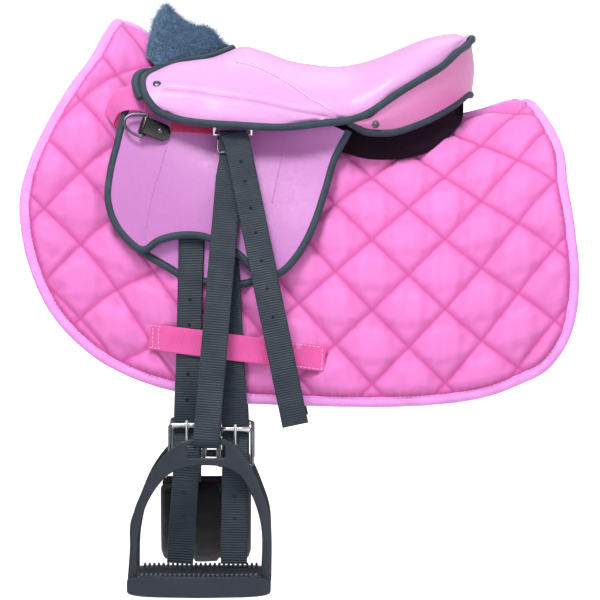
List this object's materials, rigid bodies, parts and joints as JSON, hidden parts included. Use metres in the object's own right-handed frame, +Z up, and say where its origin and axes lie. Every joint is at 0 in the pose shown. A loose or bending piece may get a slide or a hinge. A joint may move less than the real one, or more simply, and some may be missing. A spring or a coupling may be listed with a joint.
{
  "type": "pony saddle on saddle pad",
  "caption": "Small padded pony saddle on a shaped quilted saddle pad, with billet straps, padded girth, stirrup leathers on bars and closed stirrups.",
  "frame": {"origin": "underside of the saddle pad on the pony's spine, at the middle of the saddle", "axes": "+Z up, -X towards the pony's head, -Y to the pony's left"},
  "size_m": [0.5311, 0.4224, 0.5632],
  "materials": {
    "pink_quilt": "quilted cotton, slightly glossy",
    "light_pink_binding": "woven binding tape",
    "hot_pink_web": "flat woven webbing",
    "lilac_leather": "smooth synthetic leather",
    "pink_leather": "smooth synthetic leather",
    "slate_piping": "round synthetic leather piping",
    "black_web": "ribbed webbing",
    "plum_cloth": "matt napped cloth",
    "blue_grey_fleece": "short fleece",
    "black_padding": "padded cloth",
    "black_composite": "moulded, satin",
    "black_leather": "glossy",
    "dark_steel": "dark plated",
    "bright_steel": "bright nickel"
  },
  "bodies": {
    "saddle": {"pad_quilt_left": "pink_quilt", "pad_quilt_right": "pink_quilt", "pad_binding": "light_pink_binding", "pad_spine_tape": "light_pink_binding", "pad_girth_loop_left": "hot_pink_web", "pad_girth_loop_right": "hot_pink_web", "pad_front_strap_left": "hot_pink_web", "pad_front_strap_right": "hot_pink_web", "saddle_tree": "black_composite", "seat_cover": "lilac_leather", "seat_piping": "slate_piping", "cantle_facing": "pink_leather", "cantle_piping": "slate_piping", "pommel_fleece": "blue_grey_fleece", "panel_left": "plum_cloth", "panel_right": "plum_cloth", "flap_left": "lilac_leather", "flap_right": "lilac_leather", "flap_piping_left": "slate_piping", "flap_piping_right": "slate_piping", "under_flap_left": "lilac_leather", "under_flap_right": "lilac_leather", "stirrup_bar_left": "bright_steel", "stirrup_bar_right": "bright_steel", "dee_tab_left": "black_leather", "dee_tab_right": "black_leather", "stud_front_left": "dark_steel", "stud_front_right": "dark_steel", "stud_rear_left": "dark_steel", "stud_rear_right": "dark_steel", "billet_front_left": "black_web", "billet_front_right": "black_web", "billet_rear_left": "black_web", "billet_rear_right": "black_web", "girth_pad": "black_padding", "girth_web_front": "black_web", "girth_web_rear": "black_web", "girth_buckle_front_left": "dark_steel", "girth_buckle_front_right": "dark_steel", "girth_buckle_rear_left": "dark_steel", "girth_buckle_rear_right": "dark_steel"},
    "leather_left": {"stirrup_leather_left": "black_web", "leather_buckle_left": "bright_steel", "leather_tongue_left": "bright_steel"},
    "leather_right": {"stirrup_leather_right": "black_web", "leather_buckle_right": "bright_steel", "leather_tongue_right": "bright_steel"},
    "stirrup_left": {"stirrup_iron_left": "black_composite"},
    "stirrup_right": {"stirrup_iron_right": "black_composite"},
    "dee_left": {"dee_ring_left": "dark_steel"},
    "dee_right": {"dee_ring_right": "dark_steel"},
    "roller_front_left": {"girth_roller_front_left": "bright_steel"},
    "roller_front_right": {"girth_roller_front_right": "bright_steel"},
    "roller_rear_left": {"girth_roller_rear_left": "bright_steel"},
    "roller_rear_right": {"girth_roller_rear_right": "bright_steel"},
    "tongue_front_left": {"girth_tongue_front_left": "bright_steel"},
    "tongue_front_right": {"girth_tongue_front_right": "bright_steel"},
    "tongue_rear_left": {"girth_tongue_rear_left": "bright_steel"},
    "tongue_rear_right": {"girth_tongue_rear_right": "bright_steel"}
  },
  "joints": [
    {"name": "leather_swing_left", "type": "hinge", "parent": "saddle", "child": "leather_left", "pos_m": [-0.0735, -0.11679, -0.014], "axis": [-1, 0, 0], "range_deg": [0, 35]},
    {"name": "leather_swing_right", "type": "hinge", "parent": "saddle", "child": "leather_right", "pos_m": [-0.0735, 0.11679, -0.014], "axis": [1, 0, 0], "range_deg": [0, 35]},
    {"name": "stirrup_swing_left", "type": "hinge", "parent": "leather_left", "child": "stirrup_left", "pos_m": [-0.0985, -0.19023, -0.3041], "axis": [-1, 0, 0], "range_deg": [0, 40]},
    {"name": "stirrup_swing_right", "type": "hinge", "parent": "leather_right", "child": "stirrup_right", "pos_m": [-0.0985, 0.19023, -0.3041], "axis": [1, 0, 0], "range_deg": [0, 40]},
    {"name": "dee_turn_left", "type": "hinge", "parent": "saddle", "child": "dee_left", "pos_m": [-0.1575, -0.10973, -0.006], "axis": [0.2936, 0.336, 0.8949], "range_deg": [0, 90]},
    {"name": "dee_turn_right", "type": "hinge", "parent": "saddle", "child": "dee_right", "pos_m": [-0.1575, 0.10973, -0.006], "axis": [-0.2936, 0.336, -0.8949], "range_deg": [0, 90]},
    {"name": "roller_turn_front_left", "type": "hinge", "parent": "saddle", "child": "roller_front_left", "pos_m": [-0.117, -0.15835, -0.29], "axis": [1, 0, 0], "continuous": true},
    {"name": "roller_turn_front_right", "type": "hinge", "parent": "saddle", "child": "roller_front_right", "pos_m": [-0.117, 0.15835, -0.29], "axis": [1, 0, 0], "continuous": true},
    {"name": "roller_turn_rear_left", "type": "hinge", "parent": "saddle", "child": "roller_rear_left", "pos_m": [-0.071, -0.17609, -0.2935], "axis": [1, 0, 0], "continuous": true},
    {"name": "roller_turn_rear_right", "type": "hinge", "parent": "saddle", "child": "roller_rear_right", "pos_m": [-0.071, 0.17609, -0.2935], "axis": [1, 0, 0], "continuous": true},
    {"name": "tongue_turn_front_left", "type": "hinge", "parent": "saddle", "child": "tongue_front_left", "pos_m": [-0.117, -0.15835, -0.324], "axis": [1, 0, 0], "range_deg": [0, 12]},
    {"name": "tongue_turn_front_right", "type": "hinge", "parent": "saddle", "child": "tongue_front_right", "pos_m": [-0.117, 0.15835, -0.324], "axis": [-1, 0, 0], "range_deg": [0, 12]},
    {"name": "tongue_turn_rear_left", "type": "hinge", "parent": "saddle", "child": "tongue_rear_left", "pos_m": [-0.071, -0.17609, -0.3275], "axis": [1, 0, 0], "range_deg": [0, 12]},
    {"name": "tongue_turn_rear_right", "type": "hinge", "parent": "saddle", "child": "tongue_rear_right", "pos_m": [-0.071, 0.17609, -0.3275], "axis": [-1, 0, 0], "range_deg": [0, 12]}
  ]
}
